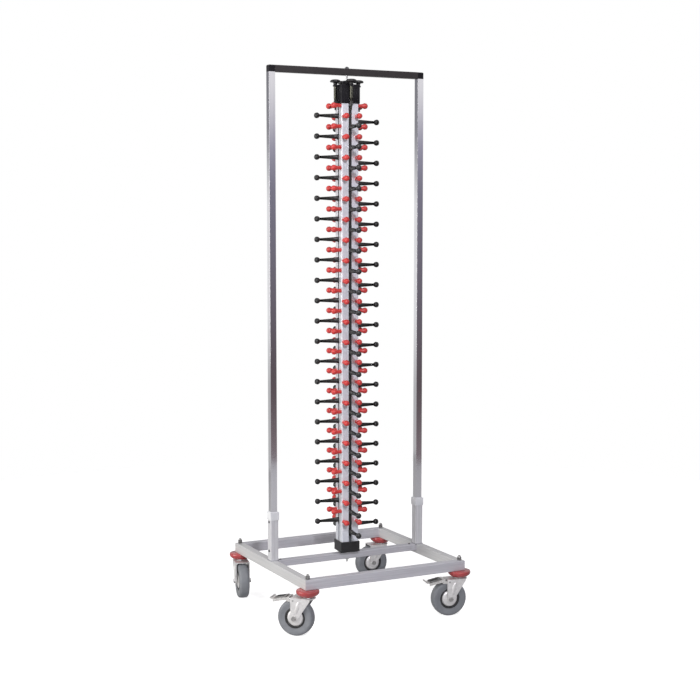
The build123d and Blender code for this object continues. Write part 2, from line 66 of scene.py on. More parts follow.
def noise(tree, vector, scale, detail):
    """A noise's value from 0 to 1. Its scale is a number or a socket."""
    node = tree.nodes.new("ShaderNodeTexNoise")
    node.inputs["Detail"].default_value = detail
    tree.links.new(vector, node.inputs["Vector"])
    if isinstance(scale, bpy.types.NodeSocket):
        tree.links.new(scale, node.inputs["Scale"])
    else:
        node.inputs["Scale"].default_value = scale
    return node.outputs["Fac"]


def spread(tree, value, low, high, start=0.3, end=0.7):
    """A value taken from start..end to low..high."""
    node = tree.nodes.new("ShaderNodeMapRange")
    tree.links.new(value, node.inputs["Value"])
    for label, number in (("From Min", start), ("From Max", end), ("To Min", low), ("To Max", high)):
        node.inputs[label].default_value = number
    return node.outputs["Result"]


def tinted(tree, value, dark, light, start=0.3, end=0.7):
    """A colour between dark and light, by a value."""
    node = tree.nodes.new("ShaderNodeValToRGB")
    for element, position, colour in zip(node.color_ramp.elements, (start, end), (dark, light)):
        element.position = position
        element.color = (*colour, 1)
    tree.links.new(value, node.inputs["Fac"])
    return node.outputs["Color"]


def relief(tree, shader, height, depth, strength):
    """Bump of a depth in metres, from a height of 0 to 1."""
    node = tree.nodes.new("ShaderNodeBump")
    node.inputs["Distance"].default_value = depth
    node.inputs["Strength"].default_value = strength
    tree.links.new(height, node.inputs["Height"])
    tree.links.new(node.outputs["Normal"], shader.inputs["Normal"])


def new_material(name, constants):
    """A material, its node tree and its shader, on which the constants are set."""
    material = bpy.data.materials.new(name)
    material.use_nodes = True
    shader = material.node_tree.nodes["Principled BSDF"]
    for label, value in constants.items():
        shader.inputs[label].default_value = value
    return material, material.node_tree, shader


def placed(tree, group, **values):
    """The outputs of a group's node in a material, with its own values."""
    node = tree.nodes.new("ShaderNodeGroup")
    node.node_tree = group
    for label, value in values.items():
        node.inputs[label].default_value = value
    return node.outputs


drawn_grain, grain_in, grain_out = shader_group(
    "drawn_grain",
    [("Stretch", "NodeSocketVector", (8, 900, 900)), ("Cloud_scale", "NodeSocketFloat", 6)],
    ["Streak", "Cloud"],
)
grain_place = object_place(drawn_grain)
grain_stretch = drawn_grain.nodes.new("ShaderNodeVectorMath")
grain_stretch.operation = "MULTIPLY"
drawn_grain.links.new(grain_place, grain_stretch.inputs[0])
drawn_grain.links.new(grain_in.outputs["Stretch"], grain_stretch.inputs[1])
grain_streak = noise(drawn_grain, grain_stretch.outputs["Vector"], scale=1, detail=3)
grain_cloud = noise(drawn_grain, grain_place, grain_in.outputs["Cloud_scale"], detail=4)
drawn_grain.links.new(grain_streak, grain_out.inputs["Streak"])
drawn_grain.links.new(grain_cloud, grain_out.inputs["Cloud"])


def ground_metal(name, stretch, dark, light, smooth, rough, metallic=1.0, grain=0.05, cloud=6.0):
    """Ground or drawn metal: streaks along its run, and cloudy gloss."""
    material, tree, shader = new_material(name, {"Metallic": metallic})
    outs = placed(tree, drawn_grain, Stretch=stretch, Cloud_scale=cloud)
    tree.links.new(tinted(tree, outs["Streak"], dark, light), shader.inputs["Base Color"])
    tree.links.new(spread(tree, outs["Cloud"], smooth, rough), shader.inputs["Roughness"])
    relief(tree, shader, outs["Streak"], depth=0.1 * mm, strength=grain)
    return material


def stand(name, data):
    """A new object in the scene."""
    thing = bpy.data.objects.new(name, data)
    bpy.context.scene.collection.objects.link(thing)
    return thing


def settle(form, name, body, material, slot, *nodes, crease=38, flats=False):
    """Turns a finished bmesh into a piece that rides on a body and stands for CAD nodes."""
    for face in form.faces:
        face.smooth = True
    for edge in form.edges:
        edge.smooth = not edge.is_manifold or edge.calc_face_angle() < radians(crease)
    mesh = bpy.data.meshes.new(name)
    form.to_mesh(mesh)
    form.free()
    mesh.materials.append(material)
    piece = stand(name, mesh)
    if flats:
        piece.modifiers.new("flat_faces", "WEIGHTED_NORMAL").keep_sharp = True
    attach(piece, body)
    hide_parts(*nodes)


def soften(form, edges, radius, steps=2):
    """Rounds edges by a radius, and gives the vertices that this makes."""
    return bmesh.ops.bevel(form, geom=edges, offset=radius, offset_type="OFFSET", segments=steps, profile=0.5,
                           affect="EDGES", clamp_overlap=True, material=-1)["verts"]


def dress(node, name, body, material, slot, long_round, rim_round, long_run=60 * mm):
    """A copy of a CAD node that stands for it, with its outer edges rounded: long ones, then the rest."""
    merge, flat, sharp = 0.005 * mm, radians(1), radians(50)
    form = bmesh.new()
    form.from_mesh(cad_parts[node].data)
    bmesh.ops.remove_doubles(form, verts=form.verts, dist=merge)
    bmesh.ops.dissolve_limit(form, angle_limit=flat, verts=form.verts, edges=form.edges)
    for radius, steps, is_long in ((long_round, 3, True), (rim_round, 2, False)):
        if radius:
            outer = [e for e in form.edges if e.is_manifold and e.is_convex and e.calc_face_angle() > sharp]
            soften(form, [e for e in outer if (e.calc_length() > long_run) == is_long], radius, steps)
    settle(form, name, body, material, slot, node, flats=True)


rail_steel = {}
# One steel in three colours by run, as painted light and shade: the front and rear tubes darker and bluer,
# the side tubes lighter and warmer, the upright sockets lightest.
for run, stretch, dark, light in (
    ("x", (5, 420, 420), (0.50, 0.497, 0.53), (0.62, 0.617, 0.655)),
    ("y", (420, 5, 420), (0.58, 0.58, 0.578), (0.67, 0.67, 0.667)),
    ("z", (330, 330, 5), (0.57, 0.57, 0.585), (0.77, 0.77, 0.79)),
):
    rail_steel[run] = ground_metal(f"rail_steel_{run}", stretch, dark, light,
                                   smooth=0.32, rough=0.44, metallic=0.3)
rail_runs = {"front_rail": "x", "rear_rail": "x", "cross_rail": "x", "left_rail": "y", "right_rail": "y"}
for node, run in rail_runs.items():
    dress(node, f"{node}_tube", "frame", rail_steel[run], "rail_steel",
          long_round=1.8 * mm, rim_round=0.25 * mm)


# Post sockets: short square tubes welded upright on the side rails, with a fillet bead round
# the foot. Same ground steel as the rails, streaks upright, in its lightest painted shade.
def block(form, size, place):
    """A box of a size in its place, and its vertices."""
    verts = bmesh.ops.create_cube(form, size=1)["verts"]
    bmesh.ops.transform(form, matrix=place @ Matrix.Diagonal((*size, 1)), verts=verts)
    return verts


dress("post_sockets", "socket_tubes", "frame", rail_steel["z"], "rail_steel",
      long_round=1.6 * mm, rim_round=0.25 * mm)
socket_wide = 25 * mm
socket_low, socket_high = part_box("post_sockets")
post_x = socket_high.x - socket_wide / 2
rail_top = socket_low.z
weld_steel, weld_tree, weld_shader = new_material("weld_bead", {"Metallic": 1.0, "Roughness": 0.5})
weld_ripple = noise(weld_tree, object_place(weld_tree), scale=900, detail=2)
weld_colour = tinted(weld_tree, weld_ripple, (0.26, 0.26, 0.28), (0.5, 0.5, 0.53))
weld_tree.links.new(weld_colour, weld_shader.inputs["Base Color"])
relief(weld_tree, weld_shader, weld_ripple, depth=0.5 * mm, strength=0.5)
bead = 2.2 * mm
bead_size = (socket_wide + bead, socket_wide + bead, 2 * bead)
form = bmesh.new()
for side in (-1, 1):
    block(form, bead_size, Matrix.Translation((side * post_x, 0, rail_top)))
soften(form, form.edges[:], radius=0.9 * mm)
settle(form, "socket_weld_beads", "frame", weld_steel, "rail_steel")


# Socket screws: small machine screws of blackened steel, with a domed head and a socket.
# They lock the posts in their sockets and hold the cross rail's ends down.
def in_mm(profile, base=0.0):
    """A (radius, height) profile given in mm, over a base height in metres."""
    return [(radius * mm, base + height * mm) for radius, height in profile]


def lathe(form, profile, steps, place):
    """Spins a (radius, height) profile about Z, closes it and puts it in its place."""
    merge = 0.002 * mm
    line = [form.verts.new((radius, 0, height)) for radius, height in profile]
    edges = [form.edges.new(pair) for pair in zip(line, line[1:])]
    before = set(form.verts) - set(line)
    bmesh.ops.spin(form, geom=line + edges, cent=(0, 0, 0), axis=(0, 0, 1), angle=2 * pi, steps=steps,
                   use_merge=True)
    bmesh.ops.remove_doubles(form, verts=[v for v in form.verts if v not in before], dist=merge)
    made = [v for v in form.verts if v not in before]
    bmesh.ops.recalc_face_normals(form, faces=list({face for vert in made for face in vert.link_faces}))
    bmesh.ops.transform(form, matrix=place, verts=made)


def turned(profile, steps, *places):
    """A new form with a profile spun about Z at each place."""
    form = bmesh.new()
    for place in places:
        lathe(form, profile, steps, place)
    return form


def facing(spot, out):
    """The place of a shape made along Z that is to point along out."""
    return Matrix.Translation(spot) @ Vector(out).to_track_quat("Z", "Y").to_matrix().to_4x4()


dark_screw, screw_tree, screw_shader = new_material("dark_screw", {"Metallic": 0.9})
screw_spots = noise(screw_tree, object_place(screw_tree), scale=700, detail=3)
screw_colour = tinted(screw_tree, screw_spots, (0.05, 0.05, 0.055), (0.13, 0.13, 0.14))
screw_tree.links.new(screw_colour, screw_shader.inputs["Base Color"])
screw_tree.links.new(spread(screw_tree, screw_spots, 0.3, 0.45), screw_shader.inputs["Roughness"])
screw_shape = [(0, 1.0), (1.5, 1.0), (1.6, 2.3), (2.4, 2.2), (3.4, 1.2), (3.7, 0.3), (3.7, -0.4), (0, -0.4)]
socket_screw_z = (197 * mm, 286 * mm)
cross_screw_x = (-228 * mm, 222 * mm)
screw_places = [facing((x, 0, rail_top), (0, 0, 1)) for x in cross_screw_x]
for side in (-1, 1):
    screw_places += [facing((side * socket_high.x, 0, z), (side, 0, 0)) for z in socket_screw_z]
settle(turned(in_mm(screw_shape), 16, *screw_places), "socket_screws", "frame", dark_screw, "zinc_steel")


# Socket collars: moulded pale plastic sleeves that close the gap between socket and post.
# Slightly translucent nylon, pushed on over the socket's end.
moulded_skin, skin_in, skin_out = shader_group(
    "moulded_skin",
    [("Grain_scale", "NodeSocketFloat", 900), ("Patch_scale", "NodeSocketFloat", 25)],
    ["Grain", "Patch"],
)
skin_place = object_place(moulded_skin)
for label in ("Grain", "Patch"):
    skin_value = noise(moulded_skin, skin_place, skin_in.outputs[f"{label}_scale"], detail=3)
    moulded_skin.links.new(skin_value, skin_out.inputs[label])


def moulded(name, dark, light, smooth, rough,
            grain=900.0, patch=25.0, depth=0.05, strength=0.25, constants=None):
    """Moulded plastic or rubber: patchy colour and gloss under a fine skin of a depth in mm."""
    material, tree, shader = new_material(name, constants or {})
    outs = placed(tree, moulded_skin, Grain_scale=grain, Patch_scale=patch)
    tree.links.new(tinted(tree, outs["Patch"], dark, light), shader.inputs["Base Color"])
    tree.links.new(spread(tree, outs["Patch"], smooth, rough), shader.inputs["Roughness"])
    relief(tree, shader, outs["Grain"], depth * mm, strength)
    return material


collar_nylon = moulded("collar_nylon", (0.70, 0.71, 0.73), (0.80, 0.81, 0.82), smooth=0.38, rough=0.5,
                       constants={"Subsurface Weight": 0.15, "Subsurface Radius": (3 * mm, 3 * mm, 3 * mm)})
dress("socket_collars", "post_collars", "frame", collar_nylon, "collar_plastic",
      long_round=1.5 * mm, rim_round=0.6 * mm, long_run=20 * mm)


# Posts: bright drawn steel tubes, polished upright, that stand on the rails inside the
# sockets and carry the top bar.
post_steel = ground_metal("post_steel", (500, 500, 3), (0.66, 0.655, 0.685), (0.74, 0.735, 0.765),
                          smooth=0.05, rough=0.09, grain=0.004, cloud=3.0)
for node in ("left_post", "right_post"):
    dress(node, f"{node}_tube", "frame", post_steel, "post_steel", long_round=0.35 * mm, rim_round=0.2 * mm)


# Top bar and its corners: a powder-coated tube between two satin black nylon corner pieces,
# whose spigots are knocked into post and bar.
bar_paint = moulded("bar_paint", (0.014, 0.0105, 0.0115), (0.019, 0.0145, 0.0155), smooth=0.38, rough=0.48,
                    grain=1300.0, patch=30.0, depth=0.08)
dress("top_bar", "top_bar_tube", "frame", bar_paint, "bar_paint", long_round=1.5 * mm, rim_round=0.2 * mm)
cap_nylon = moulded("cap_nylon", (0.004, 0.0035, 0.005), (0.009, 0.008, 0.011), smooth=0.34, rough=0.46,
                    patch=40.0, strength=0.03, constants={"Specular IOR Level": 0.2})
dress("bar_corners", "bar_corner_blocks", "frame", cap_nylon, "black_plastic",
      long_round=0, rim_round=0.8 * mm)


# Tie rod: a bright steel rod through cross rail, column and bar, threaded at both ends.
# The thread is a rolled ridge on the rod.
zinc_skin, zinc_in, zinc_out = shader_group(
    "zinc_skin",
    [("Spangle_scale", "NodeSocketFloat", 120), ("Stain_scale", "NodeSocketFloat", 30)],
    ["Spangle", "Stain"],
)
zinc_place = object_place(zinc_skin)
zinc_cells = zinc_skin.nodes.new("ShaderNodeTexVoronoi")
zinc_skin.links.new(zinc_place, zinc_cells.inputs["Vector"])
zinc_skin.links.new(zinc_in.outputs["Spangle_scale"], zinc_cells.inputs["Scale"])
zinc_grey = zinc_skin.nodes.new("ShaderNodeSeparateColor")
zinc_skin.links.new(zinc_cells.outputs["Color"], zinc_grey.inputs["Color"])
zinc_skin.links.new(zinc_grey.outputs["Red"], zinc_out.inputs["Spangle"])
zinc_stain = noise(zinc_skin, zinc_place, zinc_in.outputs["Stain_scale"], detail=4)
zinc_skin.links.new(zinc_stain, zinc_out.inputs["Stain"])


def zinc_plate(name, dark, light, smooth, rough, spangle=120.0, metallic=1.0):
    """Bright zinc plate: faint spangle in its colour, stains in its gloss."""
    material, tree, shader = new_material(name, {"Metallic": metallic})
    outs = placed(tree, zinc_skin, Spangle_scale=spangle, Stain_scale=40.0)
    tree.links.new(tinted(tree, outs["Spangle"], dark, light, start=0, end=1), shader.inputs["Base Color"])
    tree.links.new(spread(tree, outs["Stain"], smooth, rough), shader.inputs["Roughness"])
    return material


def thread(form, radius, depth, pitch, low, high, x=0.0, y=0.0):
    """A rolled ridge that winds up a rod's surface from low to high, closed at both ends."""
    steps = 12
    turns = int((high - low) / pitch)
    sunk, half = radius - 0.4 * depth, 0.4 * pitch
    ridge = [(sunk, low - half), (radius + depth, low), (sunk, low + half)]
    line = [form.verts.new((x + r, y, z)) for r, z in ridge]
    edges = [form.edges.new((line[i], line[i - 1])) for i in range(3)]
    before = set(form.verts) - set(line)
    bmesh.ops.spin(form, geom=line + edges, cent=(x, y, 0), axis=(0, 0, 1), dvec=(0, 0, pitch / steps),
                   angle=2 * pi * turns, steps=turns * steps)
    made = [v for v in form.verts if v not in before]
    ends = list({edge for vert in made for edge in vert.link_edges if edge.is_boundary})
    bmesh.ops.holes_fill(form, edges=ends, sides=3)
    bmesh.ops.recalc_face_normals(form, faces=list({face for vert in made for face in vert.link_faces}))


bright_zinc = zinc_plate("bright_zinc", (0.50, 0.50, 0.51), (0.66, 0.66, 0.66), smooth=0.2, rough=0.36)
rod_low, rod_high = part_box("tie_rod")
rod_groove = 0.45 * mm
rod_core = 3 * mm - rod_groove
rod_point = 1.5 * mm
rod_pitch = 1.2 * mm
form = turned([(0, rod_low.z), (rod_core - rod_groove, rod_low.z), (rod_core, rod_low.z + rod_point),
               (rod_core, rod_high.z), (0, rod_high.z)], 24, Matrix())
thread(form, rod_core, rod_groove, rod_pitch, rod_low.z + 2 * mm, rod_low.z + 12 * mm)
thread(form, rod_core, rod_groove, rod_pitch, rod_high.z - 62 * mm, rod_high.z - 2 * mm)
settle(form, "tie_rod_threaded", "frame", bright_zinc, "zinc_steel", "tie_rod", crease=60)


# Rod fittings: the domed nut over the bar with its washer, the lock nut under the cross
# rail and the washer that the column turns on. Zinc-plated steel.
def hexagon_nut(form, across, height, place):
    """A hexagon nut whose corners are rounded off at both ends."""
    radius = across / 2 / cos(pi / 6)
    blank = bmesh.ops.create_cone(form, cap_ends=True, segments=6, radius1=radius, radius2=radius,
                                  depth=height)["verts"]
    edges = {edge for vert in blank for edge in vert.link_edges}
    rims = [edge for edge in edges if abs(edge.verts[0].co.z - edge.verts[1].co.z) < height / 2]
    made = soften(form, rims, radius=0.09 * across)
    every = list({v for v in blank + made if v.is_valid})
    bmesh.ops.transform(form, matrix=place @ Matrix.Translation((0, 0, height / 2)), verts=every)


def domed(radius, foot, spring, rise):
    """A profile in mm of a round plug: its foot, and the dome that rises where its wall ends."""
    angles = [radians(angle) for angle in range(90, -1, -15)]
    return in_mm([(0, foot), (radius, foot), *((radius * sin(a), spring + rise * cos(a)) for a in angles)])


dark_zinc = zinc_plate("dark_zinc", (0.10, 0.10, 0.105), (0.17, 0.17, 0.175), smooth=0.28, rough=0.42)
nut_across = 11 * mm
bar_top = Matrix.Translation((0, 0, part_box("top_bar")[1].z))
bar_washer_h = 0.8 * mm
bar_washer_r = 6.5 * mm
dome_nut_h = 3.2 * mm
form = bmesh.new()
hexagon_nut(form, nut_across, dome_nut_h, bar_top @ Matrix.Translation((0, 0, bar_washer_h)))
lathe(form, [(0, 0), (bar_washer_r, 0), (bar_washer_r, bar_washer_h), (0, bar_washer_h)], 24, bar_top)
lathe(form, domed(4.6, foot=3, spring=3.8, rise=2.6), 24, bar_top)
settle(form, "top_dome_nut", "frame", dark_zinc, "zinc_steel")
lock_nut_h = 4 * mm
under_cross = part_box("cross_rail")[0].z
washer_shape = [(3.1, 0), (19.6, 0), (20, 0.4), (20, 3.6), (19.6, 4), (3.1, 4), (3.1, 0)]
form = bmesh.new()
hexagon_nut(form, nut_across, lock_nut_h, Matrix.Translation((0, 0, under_cross - lock_nut_h)))
lathe(form, in_mm(washer_shape, rail_top), 40, Matrix())
settle(form, "rod_nut_and_washer", "frame", bright_zinc, "zinc_steel", "rod_fittings")


# Column profiles: four extruded, natural-anodised aluminium sections that leave a cross of
# slots. Fine die lines run up each one under a pale, slightly blue sheen.
def recolour(node, material):
    """Gives a material to a CAD node that is shown as it is."""
    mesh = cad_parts[node].data
    mesh.materials.clear()
    mesh.materials.append(material)


column_alu = ground_metal("column_aluminium", (1500, 1500, 4), (0.74, 0.765, 0.82), (0.83, 0.855, 0.90),
                          smooth=0.24, rough=0.32, metallic=0.2, grain=0.02, cloud=5.0)
recolour("column_extrusions", column_alu)


# Base block and top cap: satin black mouldings that clamp the profiles' ends. The cap has
# shallow upright ribs, an ear for each spindle and a round boss under the bar.
black_nylon = moulded("black_nylon", (0.005, 0.005, 0.006), (0.011, 0.010, 0.012), smooth=0.34, rough=0.48)
dress("base_block", "base_block_moulding", "column", black_nylon, "black_plastic",
      long_round=1.2 * mm, rim_round=0.6 * mm, long_run=30 * mm)
dress("top_cap", "top_cap_moulding", "column", cap_nylon, "cap_plastic",
      long_round=1.2 * mm, rim_round=0.5 * mm, long_run=45 * mm)
column_turn = -5.3
face_angles = {"right": 0, "back": 90, "left": 180, "front": 270}
faces = {face: radians(column_turn + angle) for face, angle in face_angles.items()}
cap_low, cap_high = (corner.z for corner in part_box("top_cap"))
cap_half = 31 * mm
rib_size = (2.4 * mm, 2.6 * mm, 43 * mm)
rib_slant = 3 * mm
rib_middle = cap_low + 24 * mm
rib_rows = (-24, -18, -12, 12, 18, 24)
form = bmesh.new()
for turn in faces.values():
    for across in rib_rows:
        rib = block(form, rib_size, Matrix())
        bmesh.ops.translate(form, vec=(0, 0, -rib_slant), verts=[v for v in rib if v.co.z > 0 and v.co.x > 0])
        spot = Matrix.Translation((cap_half, across * mm, rib_middle))
        bmesh.ops.transform(form, matrix=Matrix.Rotation(turn, 4, "Z") @ spot, verts=rib)
soften(form, form.edges[:], radius=0.4 * mm)
settle(form, "cap_ribs", "column", cap_nylon, "cap_plastic")
boss_shape = [(4.2, -2), (14.5, -2), (14.0, 4), (12.6, 10.4), (11.4, 12), (4.2, 12), (4.2, -2)]
form = turned(in_mm(boss_shape, cap_high), 32, Matrix())
settle(form, "cap_boss", "column", cap_nylon, "cap_plastic", crease=50)


# Pegs: 42 red pegs on each face, moulded in one piece with a waisted neck and a ball head,
# and pressed into the profiles. Two pegs carry the rim of each plate from above.
def tier_places(face, first):
    """The places up a face's middle line, each pointing out from the column."""
    turn = Matrix.Rotation(faces[face], 4, "Z")
    out = Matrix(((0, 0, 1, 0), (0, 1, 0, 0), (-1, 0, 0, 0), (0, 0, 0, 1)))
    return [turn @ Matrix.Translation((0, 0, first + tier * tier_pitch)) @ out for tier in range(tiers)]


def repeat(form, places):
    """Puts a copy of a form's one shape at each place, and takes the first one away."""
    first = form.verts[:]
    shape = first + form.edges[:] + form.faces[:]
    for place in places:
        made = bmesh.ops.duplicate(form, geom=shape)["geom"]
        bmesh.ops.transform(form, matrix=place, verts=[v for v in made if isinstance(v, bmesh.types.BMVert)])
    bmesh.ops.delete(form, geom=first, context="VERTS")


tiers = 21
tier_pitch = 62 * mm
column_half = 27.5 * mm
peg_side = 20.9 * mm
peg_first = {"right": 300.45, "left": 300.45, "front": 268.25, "back": 268.25}
peg_shape = [(0, -0.4), (6.0, -0.4), (5.4, 9.0), (6.2, 14.0), (9.0, 21.8), (8.0, 27.6), (4.6, 30.7),
             (0, 31.4)]
peg_red = moulded("peg_red", (0.60, 0.042, 0.038), (0.70, 0.060, 0.054), smooth=0.3, rough=0.42,
                  grain=1100.0, patch=14.0, strength=0.15,
                  constants={"Subsurface Weight": 0.12, "Subsurface Radius": (3 * mm, 0.6 * mm, 0.5 * mm)})
for face in faces:
    form = turned(in_mm(peg_shape, column_half), 10, Matrix())
    rows = tier_places(face, peg_first[face] * mm)
    repeat(form, [row @ Matrix.Translation((0, side, 0)) for row in rows for side in (-peg_side, peg_side)])
    settle(form, f"round_pegs_{face}", "column", peg_red, "red_plastic", f"pegs_{face}", crease=70)


# Carriers and arms: black nylon T-strips that slide in the slots, each with 21 tapered arms
# that end in a ball and hold the plates' rims from below.
arm_nylon = moulded("arm_nylon", (0.006, 0.006, 0.006), (0.013, 0.013, 0.013), smooth=0.34, rough=0.48,
                    patch=18.0)
arm_first = {"left": 270.45, "right": 253.95, "front": 236.75, "back": 236.75}
arm_sections = [(26.4, 9.6, 16.4), (88.6, 6.6, 8.0), (91, 12.6, 12.6), (94, 16.6, 16.6), (97.5, 18.4, 18.4),
                (101.4, 16.2, 16.2), (104.2, 11.2, 11.2), (105.4, 5.0, 5.0)]
arm_sides = 8
for face in faces:
    form = bmesh.new()
    reach, wide, tall = (size * mm for size in arm_sections[0])
    ring = bmesh.ops.create_circle(form, cap_ends=True, segments=arm_sides, radius=0.5)["verts"]
    root = Matrix.Translation((0, 0, reach)) @ Matrix.Diagonal((tall, wide, 1, 1))
    bmesh.ops.transform(form, matrix=root @ Matrix.Rotation(pi / arm_sides, 4, "Z"), verts=ring)
    cap = form.faces[:]
    for section in arm_sections[1:]:
        far, next_wide, next_tall = (size * mm for size in section)
        cap = bmesh.ops.extrude_face_region(form, geom=cap)["geom"]
        ring = [v for v in cap if isinstance(v, bmesh.types.BMVert)]
        cap = [f for f in cap if isinstance(f, bmesh.types.BMFace)]
        bmesh.ops.translate(form, vec=(0, 0, far - reach), verts=ring)
        bmesh.ops.scale(form, vec=(next_tall / tall, next_wide / wide, 1), verts=ring)
        reach, wide, tall = far, next_wide, next_tall
    bmesh.ops.recalc_face_normals(form, faces=form.faces)
    repeat(form, tier_places(face, arm_first[face] * mm))
    carrier = f"carrier_{face}"
    settle(form, f"ball_arms_{face}", carrier, arm_nylon, "black_plastic", f"arms_{face}", crease=70)
    recolour(carrier, arm_nylon)


# Adjusting knobs and spindles: a black mushroom knob with a fluted rim is pressed on the top
# of each spindle, a screw with a polished sleeve that lifts the carrier by its lug.
# The polished sleeve is coloured a near-black olive: a painted dark reflection of its surroundings.
spindle_painted_reflection = zinc_plate("spindle_painted_reflection", (0.055, 0.055, 0.044), (0.075, 0.075, 0.06),
                            smooth=0.14, rough=0.2, spangle=60.0)
spindle_out = 37.4 * mm
spindle_core = 2.35 * mm
spindle_neck = 2.9 * mm
spindle_ridge = 0.35 * mm
spindle_pitch = 1.6 * mm
spindle_low, spindle_high = (corner.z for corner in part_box("spindle_left"))
knob_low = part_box("knob_left")[0].z
knob_shape = [(3.1, 14.05), (3.1, 0), (5.4, 0), (6.0, 0.6), (5.8, 4.2), (6.6, 6.6), (10.0, 7.8), (14.4, 8.3),
              (15.7, 9.4), (16.0, 10.9), (15.6, 12.6), (13.4, 14.8), (9.2, 16.3), (4.2, 16.9), (0, 17.0),
              (0, 14.05), (3.1, 14.05)]
flutes = 12
flute_depth = 0.8 * mm
flute_half = radians(4)
flute_low, flute_high = knob_low + 8 * mm, knob_low + 13 * mm
sleeve_low, sleeve_high = cap_low + 15 * mm, knob_low - 4.4 * mm
sleeve_r = 5 * mm
sleeve_rim = 0.4 * mm
spindle_shape = [(0, spindle_low), (spindle_core, spindle_low), (spindle_core, sleeve_low),
                 (sleeve_r - sleeve_rim, sleeve_low), (sleeve_r, sleeve_low + sleeve_rim),
                 (sleeve_r, sleeve_high - sleeve_rim), (sleeve_r - sleeve_rim, sleeve_high),
                 (spindle_neck, sleeve_high), (spindle_neck, spindle_high), (0, spindle_high)]
for face, turn in faces.items():
    knob = f"knob_{face}"
    x, y = spindle_out * cos(turn), spindle_out * sin(turn)
    form = turned(in_mm(knob_shape), 36, Matrix.Translation((x, y, knob_low)))
    for step in range(flutes):
        flute = turn + 2 * pi * step / flutes
        grip = [v for v in form.verts if flute_low < v.co.z < flute_high
                and abs(((atan2(v.co.y - y, v.co.x - x) - flute + pi) % (2 * pi)) - pi) < flute_half]
        bmesh.ops.translate(form, vec=(-flute_depth * cos(flute), -flute_depth * sin(flute), 0), verts=grip)
    settle(form, f"mushroom_knob_{face}", knob, arm_nylon, "black_plastic", knob, crease=50)
    form = turned(spindle_shape, 24, Matrix.Translation((x, y, 0)))
    thread(form, spindle_core, spindle_ridge, spindle_pitch,
           spindle_low + 2 * mm, sleeve_low - 1.5 * mm, x, y)
    settle(form, f"screw_spindle_{face}", knob, spindle_painted_reflection, "zinc_steel", f"spindle_{face}", crease=30)


# Caster bolts and nuts: each kingpin runs up through bumper and rail, with a pressed race
# over the fork and a slim cap nut on the rail's top. Zinc-plated steel.
nut_zinc = zinc_plate("nut_zinc", (0.20, 0.195, 0.19), (0.30, 0.295, 0.29), smooth=0.2, rough=0.34)
cap_nut_h = 11 * mm
stem_at = 254.5 * mm
stems = {"front_left": (-stem_at, -stem_at), "front_right": (stem_at, -stem_at),
         "rear_left": (-stem_at, stem_at), "rear_right": (stem_at, stem_at)}
form = bmesh.new()
for x, y in stems.values():
    spot = Matrix.Translation((x, y, rail_top))
    hexagon_nut(form, nut_across, cap_nut_h, spot)
    lathe(form, domed(4.9, foot=10, spring=10.9, rise=5.0), 28, spot)
settle(form, "caster_cap_nuts", "frame", nut_zinc, "zinc_steel", "caster_nuts")
recolour("caster_bolts", bright_zinc)


# Corner bumpers: thick red moulded discs clamped under the base's corners, rounded at the
# rim and tapered towards the caster. Glossy plastic with a thin clear skin.
bumper_red = moulded("bumper_red", (0.36, 0.036, 0.038), (0.46, 0.054, 0.057), smooth=0.16, rough=0.26,
                     patch=30.0, constants={"Coat Weight": 0.4, "Coat Roughness": 0.12})
bumper_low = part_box("corner_bumpers")[0].z
bumper_shape = [(4.1, 0), (22.8, 0), (24.2, 0.7), (27.6, 3.4), (31.2, 6.2), (33.3, 8.6), (34, 11.4),
                (33.9, 16.2), (32.7, 18.2), (30.6, 19), (4.1, 19), (4.1, 0)]
form = turned(in_mm(bumper_shape), 56, *(Matrix.Translation((x, y, bumper_low)) for x, y in stems.values()))
settle(form, "round_bumpers", "frame", bumper_red, "red_bumper", "corner_bumpers", crease=50)


# Casters: a pressed zinc fork with a raised bead on each leg swivels on the kingpin and
# holds the axle bolt. The wheel has a solid grey rubber tyre on a black rim, with a pale
# pressed cover over the bearing.
headings = {"front_left": 135, "front_right": 170, "rear_left": 257, "rear_right": 176}
trail = 35 * mm
wheel_r = 54 * mm
tyre_rubber = moulded("tyre_rubber", (0.185, 0.195, 0.210), (0.225, 0.235, 0.250), smooth=0.5, rough=0.64,
                      grain=1200.0, patch=45.0, depth=0.1)
rim_black = moulded("rim_black", (0.014, 0.014, 0.015), (0.026, 0.026, 0.028), smooth=0.36, rough=0.5)
cover_grey = zinc_plate("cover_grey", (0.76, 0.75, 0.74), (0.84, 0.83, 0.82),
                        smooth=0.28, rough=0.4, spangle=140.0, metallic=0.6)
fork_zinc = zinc_plate("fork_zinc", (0.70, 0.69, 0.68), (0.80, 0.79, 0.78),
                       smooth=0.3, rough=0.44, spangle=160.0, metallic=0.6)
axle_zinc = zinc_plate("axle_zinc", (0.36, 0.355, 0.35), (0.48, 0.475, 0.47), smooth=0.2, rough=0.34)
leg_bead = (6 * mm, 2.4 * mm, 20 * mm)
leg_bead_x, leg_bead_y, leg_bead_z = 25 * mm, 22.4 * mm, 85 * mm
leg_lean = Matrix.Rotation(radians(-14), 4, "Y") @ Matrix.Diagonal((*leg_bead, 1))
tyre_shape = [(31.2, -13.6), (34.5, -14.0), (39.0, -15.2), (45.0, -15.9), (49.0, -15.6), (51.7, -13.8),
              (53.2, -10.6), (53.8, -6), (54, 0), (53.8, 6), (53.2, 10.6), (51.7, 13.8), (49.0, 15.6),
              (45.0, 15.9), (39.0, 15.2), (34.5, 14.0), (31.2, 13.6), (31.2, -13.6)]
rim_shape = [(25.2, 10), (25.6, 13.2), (26.6, 14), (30.2, 14), (31.1, 13.3), (31.1, -13.3), (30.2, -14),
             (26.6, -14), (25.6, -13.2), (25.2, -10), (25.2, 10)]
